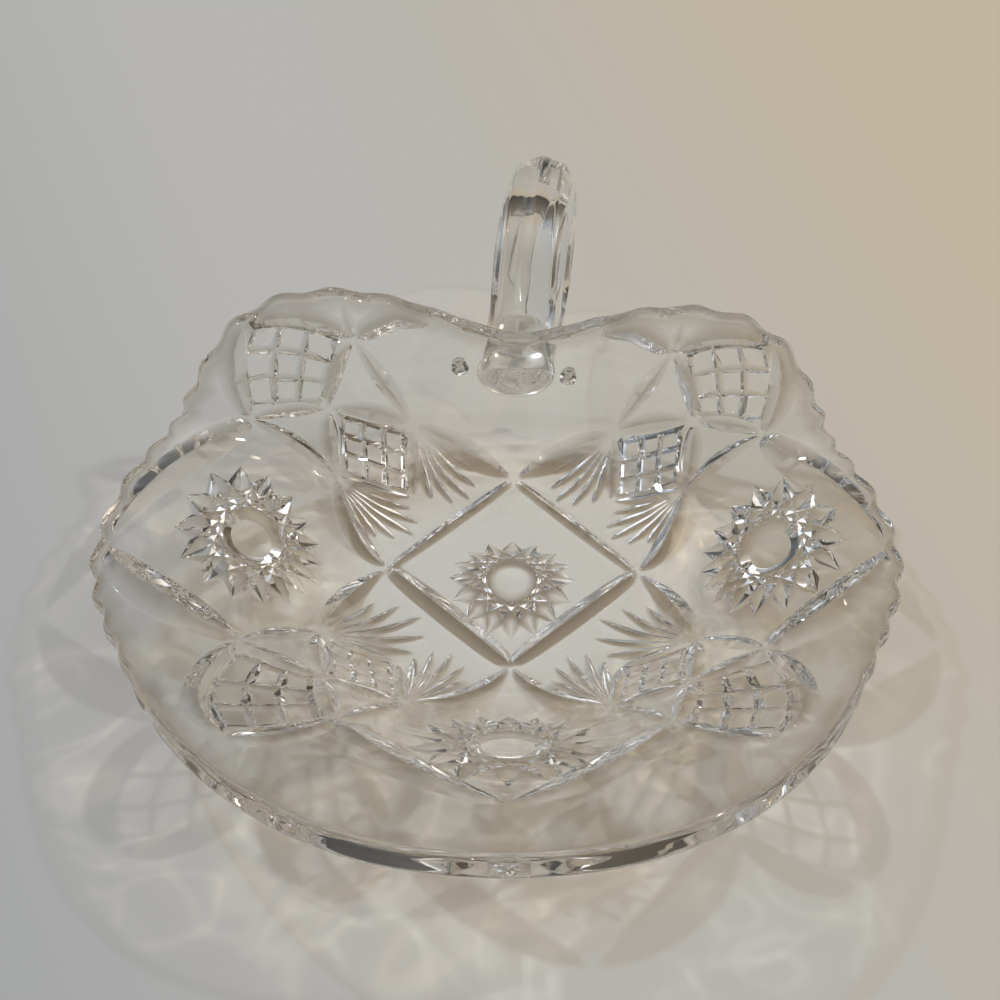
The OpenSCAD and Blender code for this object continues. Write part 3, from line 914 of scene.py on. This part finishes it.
def add_handle(shell, root):
    """Both arms start from halves of the root's outline and share the line where they part."""
    # Painted shade in the handle's colour, darkest at its root
    crotch = shell.add(crotch_points(), frost=1.0, tint=ROOT_PAINTED_SHADE)
    over = np.concatenate([root[:HALF_N + 1], crotch])
    under = np.concatenate([root[:1], root[:HALF_N - 1:-1], crotch])
    bar = handle_rings()
    upper = fillet(shell.points(over), foot_points(1.0), bar[0])
    lower = fillet(shell.points(under), foot_points(-1.0), bar[-1])
    rings = upper + bar + lower[::-1]
    ring = over
    for k, points in enumerate(rings):
        from_root = min(k, len(rings) - 1 - k)
        frost = 1.0 - smooth((from_root - FROST_FULL) / FROST_FADE)
        # The painted shade fades from the root along the handle with the frost
        here = shell.add(points, frost=frost, tint=mix(HANDLE_PAINTED_SHADE, ROOT_PAINTED_SHADE, frost))
        shell.band(here, ring)
        ring = here
    shell.band(under, ring)


def make_mesh(shell, name):
    """Mesh in metres of the vertices that faces use, with their marks."""
    used = sorted({v for f in shell.faces for v in f})
    renumber = {old: new for new, old in enumerate(used)}
    verts = [tuple(MM * c for c in shell.verts[v]) for v in used]
    faces = [tuple(renumber[v] for v in f) for f in shell.faces]
    mesh = bpy.data.meshes.new(name)
    mesh.from_pydata(verts, [], faces)
    for mark_name, values in shell.marks.items():
        layer = mesh.attributes.new(mark_name, "FLOAT", "POINT")
        layer.data.foreach_set("value", [values[v] for v in used])
    mesh.shade_smooth()
    mesh.set_sharp_from_angle(angle=math.radians(SHARP_DEG))
    return mesh


def build_dish(material):
    angles = 360.0 * np.arange(RIM_STEPS) / RIM_STEPS
    rim = to_plan(angles, rim_edge_r(angles))
    shell = Shell()
    edge, root = add_relief_sheet(shell, rim)
    inner_ring = add_rim(shell, edge, angles)
    add_inner_sheet(shell, rim, inner_ring)
    add_handle(shell, root)
    mesh = make_mesh(shell, "dish_glass")
    mesh.materials.append(material)
    dish = bpy.data.objects.new("dish_glass", mesh)
    bpy.context.scene.collection.objects.link(dish)
    return dish


def new_material(name):
    material = bpy.data.materials.new(name)
    material.use_nodes = True
    nodes = material.node_tree.nodes
    return material, nodes, material.node_tree.links, nodes["Principled BSDF"]


def color_stops(nodes, links, stops, share):
    """Colour that follows a share through (position, colour) stops."""
    node = nodes.new("ShaderNodeValToRGB")
    node.color_ramp.interpolation = "EASE"
    ends = node.color_ramp.elements
    ends[0].position, ends[0].color = stops[0][0], (*stops[0][1], 1.0)
    ends[1].position, ends[1].color = stops[-1][0], (*stops[-1][1], 1.0)
    for position, colour in stops[1:-1]:
        ends.new(position).color = (*colour, 1.0)
    links.new(share, node.inputs["Fac"])
    return node.outputs["Color"]


def product(nodes, links, one, other):
    node = nodes.new("ShaderNodeVectorMath")
    node.operation = "MULTIPLY"
    links.new(one, node.inputs[0])
    links.new(other, node.inputs[1])
    return node.outputs["Vector"]


def mark(nodes, name):
    """A mark that the mesh carries at its vertices."""
    node = nodes.new("ShaderNodeAttribute")
    node.attribute_name = name
    return node.outputs["Fac"]


def noise(nodes, links, scale, detail, distortion=0.0):
    """Noise in the dish's own frame."""
    place = nodes.new("ShaderNodeTexCoord")
    node = nodes.new("ShaderNodeTexNoise")
    node.inputs["Scale"].default_value = scale
    node.inputs["Detail"].default_value = detail
    node.inputs["Distortion"].default_value = distortion
    links.new(place.outputs["Object"], node.inputs["Vector"])
    return node.outputs["Fac"]


def glass_waves(nodes, links):
    """Normal with the faint waves of an old pressing."""
    bump = nodes.new("ShaderNodeBump")
    bump.inputs["Strength"].default_value = WAVE_STRENGTH
    bump.inputs["Distance"].default_value = WAVE_HEIGHT
    links.new(noise(nodes, links, WAVE_SCALE, WAVE_DETAIL), bump.inputs["Height"])
    return bump.outputs["Normal"]


def glass_roughness(nodes, links):
    """A thin uneven film, and frost round the handle's root."""
    film = nodes.new("ShaderNodeMapRange")
    film.inputs["From Min"].default_value = FILM_FROM
    film.inputs["From Max"].default_value = FILM_TO
    film.inputs["To Min"].default_value = 0.0
    film.inputs["To Max"].default_value = FILM_ROUGH
    links.new(noise(nodes, links, FILM_SCALE, FILM_DETAIL), film.inputs["Value"])
    rough = nodes.new("ShaderNodeMath")
    rough.operation = "MULTIPLY_ADD"
    rough.inputs[1].default_value = FROST_ROUGH
    links.new(mark(nodes, "frost"), rough.inputs[0])
    links.new(film.outputs["Result"], rough.inputs[2])
    return rough.outputs["Value"]


def streaks(nodes, links):
    """Light gathered in streaks by the wall."""
    swirl = noise(nodes, links, STREAK_SCALE, STREAK_DETAIL, STREAK_DISTORTION)
    spread = nodes.new("ShaderNodeMixRGB")
    spread.inputs["Color1"].default_value = (1.0, 1.0, 1.0, 1.0)
    links.new(mark(nodes, "streak"), spread.inputs["Fac"])
    links.new(color_stops(nodes, links, STREAK_STOPS, swirl), spread.inputs["Color2"])
    return spread.outputs["Color"]


def light_through(nodes, links):
    """Shader for light on its way to the floor: least where it meets a cut, or glass aslant."""
    slant = nodes.new("ShaderNodeLayerWeight")
    slant.inputs["Blend"].default_value = 0.5
    passed = color_stops(nodes, links, PASS_STOPS, slant.outputs["Facing"])
    spared = color_stops(nodes, links, CUT_STOPS, mark(nodes, "cut"))
    through = product(nodes, links, product(nodes, links, passed, spared), streaks(nodes, links))
    clear = nodes.new("ShaderNodeBsdfTransparent")
    links.new(through, clear.inputs["Color"])
    return clear.outputs["BSDF"]


def to_light(nodes, links):
    """1 for rays between the floor and the lights, else 0."""
    path = nodes.new("ShaderNodeLightPath")
    either = nodes.new("ShaderNodeMath")
    either.operation = "MAXIMUM"
    links.new(path.outputs["Is Shadow Ray"], either.inputs[0])
    links.new(path.outputs["Is Diffuse Ray"], either.inputs[1])
    return either.outputs["Value"]


def glass_material():
    """Clear fire-polished glass; its colour carries painted shade, grey-brown in its cuts, at its
    rim and in its handle.
    """
    material, nodes, links, shader = new_material("clear_glass")
    shader.inputs["IOR"].default_value = GLASS_IOR
    shader.inputs["Transmission Weight"].default_value = 1.0
    # Painted shade: the base colour darkens where the mesh marks it
    tint = color_stops(nodes, links, PAINTED_SHADE_STOPS, mark(nodes, "tint"))
    links.new(tint, shader.inputs["Base Color"])
    links.new(glass_waves(nodes, links), shader.inputs["Normal"])
    links.new(glass_roughness(nodes, links), shader.inputs["Roughness"])
    pick = nodes.new("ShaderNodeMixShader")
    links.new(to_light(nodes, links), pick.inputs["Fac"])
    links.new(shader.outputs["BSDF"], pick.inputs[1])
    links.new(light_through(nodes, links), pick.inputs[2])
    links.new(pick.outputs["Shader"], nodes["Material Output"].inputs["Surface"])
    return material


def floor_material():
    """Pale matt floor with painted light: darker and cool at the front left, lighter and warm at
    the back right.
    """
    material, nodes, links, shader = new_material("pale_floor")
    shader.inputs["Roughness"].default_value = FLOOR_ROUGH
    shader.inputs["Specular IOR Level"].default_value = FLOOR_GLOSS
    place = nodes.new("ShaderNodeTexCoord")
    along = nodes.new("ShaderNodeVectorMath")
    along.operation = "DOT_PRODUCT"
    along.inputs[1].default_value = FLOOR_PAINTED_LIGHT_WAY
    links.new(place.outputs["Object"], along.inputs[0])
    across = nodes.new("ShaderNodeMapRange")
    across.inputs["From Min"].default_value = FLOOR_PAINTED_LIGHT_FROM
    across.inputs["From Max"].default_value = FLOOR_PAINTED_LIGHT_TO
    links.new(along.outputs["Value"], across.inputs["Value"])
    floor_tone_and_painted_light = color_stops(nodes, links, FLOOR_TONE_AND_PAINTED_LIGHT, across.outputs["Result"])
    links.new(floor_tone_and_painted_light, shader.inputs["Base Color"])
    return material


def build_floor():
    turns = 360.0 * np.arange(FLOOR_SIDES) / FLOOR_SIDES
    ring = [(FLOOR_R * cosd(turn), FLOOR_R * sind(turn), FLOOR_Z) for turn in turns]
    mesh = bpy.data.meshes.new("floor")
    mesh.from_pydata(ring, [], [tuple(range(FLOOR_SIDES))])
    mesh.materials.append(floor_material())
    floor = bpy.data.objects.new("floor", mesh)
    bpy.context.scene.collection.objects.link(floor)


def build_camera():
    """Camera of the photograph: the base's middle falls on BASE_PIXEL of a 1000 x 1000 image."""
    away = np.array([0.0, -cosd(CAM_ELEVATION), sind(CAM_ELEVATION)])
    right = np.array([1.0, 0.0, 0.0])
    up = np.array([0.0, sind(CAM_ELEVATION), cosd(CAM_ELEVATION)])
    rolled_right = cosd(CAM_ROLL) * right + sind(CAM_ROLL) * up
    rolled_up = cosd(CAM_ROLL) * up - sind(CAM_ROLL) * right
    off_x, off_y = BASE_PIXEL[0] - 0.5 * IMAGE_PX, 0.5 * IMAGE_PX - BASE_PIXEL[1]
    ahead = unit(-away * FOCAL_PX - off_x * rolled_right - off_y * rolled_up)
    x_axis = unit(np.cross(ahead, rolled_up))
    y_axis = np.cross(x_axis, ahead)
    data = bpy.data.cameras.new("camera")
    data.sensor_width = SENSOR_MM
    data.lens = SENSOR_MM * FOCAL_PX / IMAGE_PX
    data.clip_start, data.clip_end = CLIP_START, CLIP_END
    camera = bpy.data.objects.new("camera", data)
    turn = Matrix((x_axis, y_axis, -ahead)).transposed().to_4x4()
    camera.matrix_world = Matrix.Translation(Vector(away * CAM_DISTANCE)) @ turn
    bpy.context.scene.collection.objects.link(camera)
    bpy.context.scene.camera = camera


def add_area_light(name, place, size, watts, colour):
    data = bpy.data.lights.new(name, "AREA")
    data.shape = "DISK"
    data.size = size
    data.energy = watts
    data.color = colour
    lamp = bpy.data.objects.new(name, data)
    lamp.location = place
    lamp.rotation_euler = (-Vector(place)).to_track_quat("-Z", "Y").to_euler()
    bpy.context.scene.collection.objects.link(lamp)


def build_world():
    """Soft room: pale overhead, darker at the horizon, cool on the left and warm on the right."""
    world = bpy.data.worlds.new("studio")
    bpy.context.scene.world = world
    world.use_nodes = True
    nodes, links = world.node_tree.nodes, world.node_tree.links
    nodes.clear()
    place = nodes.new("ShaderNodeTexCoord")
    split = nodes.new("ShaderNodeSeparateXYZ")
    links.new(place.outputs["Generated"], split.inputs["Vector"])
    sky = color_stops(nodes, links, WORLD_STOPS, split.outputs["Z"])
    across = nodes.new("ShaderNodeMapRange")
    across.inputs["From Min"].default_value = -1.0
    links.new(split.outputs["X"], across.inputs["Value"])
    tint = color_stops(nodes, links, SIDE_TINTS, across.outputs["Result"])
    room = nodes.new("ShaderNodeBackground")
    room.inputs["Strength"].default_value = WORLD_STRENGTH
    links.new(product(nodes, links, sky, tint), room.inputs["Color"])
    out = nodes.new("ShaderNodeOutputWorld")
    links.new(room.outputs["Background"], out.inputs["Surface"])


def set_light_paths():
    """Enough bounces for light that runs along inside the glass."""
    cycles = bpy.context.scene.cycles
    cycles.max_bounces = GLASS_BOUNCES
    cycles.glossy_bounces = GLASS_BOUNCES
    cycles.transmission_bounces = GLASS_BOUNCES
    cycles.transparent_max_bounces = GLASS_BOUNCES
    cycles.caustics_refractive = False
    cycles.caustics_reflective = False


def main():
    set_light_paths()
    dish = build_dish(glass_material())
    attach(dish, "root")
    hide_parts("bowl", "handle")
    build_floor()
    build_camera()
    build_world()
    for lamp in LAMPS:
        add_area_light(*lamp)
    bpy.context.scene.view_settings.view_transform = "Standard"


main()
